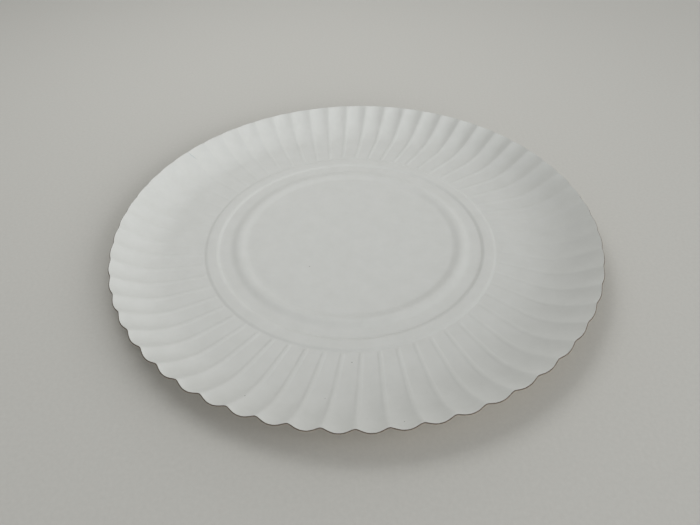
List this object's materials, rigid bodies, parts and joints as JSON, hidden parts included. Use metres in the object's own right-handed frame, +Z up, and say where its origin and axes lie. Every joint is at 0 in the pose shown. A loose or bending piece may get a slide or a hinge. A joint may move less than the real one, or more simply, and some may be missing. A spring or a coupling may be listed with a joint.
{
  "type": "paper plate",
  "caption": "Round shallow paper plate: a flat well ringed by an embossed bead and a raised ring, inside a wide upturned flange of narrow slanting flutes.",
  "frame": {"origin": "under the middle of the outline, on the flat underside that the plate stands on", "axes": "+Z up, out of the plate's mouth; +Y away from the picture's viewer, +X to the viewer's right"},
  "size_m": [0.2288, 0.2288, 0.0136],
  "materials": {
    "coated_board": "satin clay-coated white paperboard, uncoated on the cut edge"
  },
  "bodies": {
    "root": {"plate": "coated_board"}
  },
  "joints": []
}
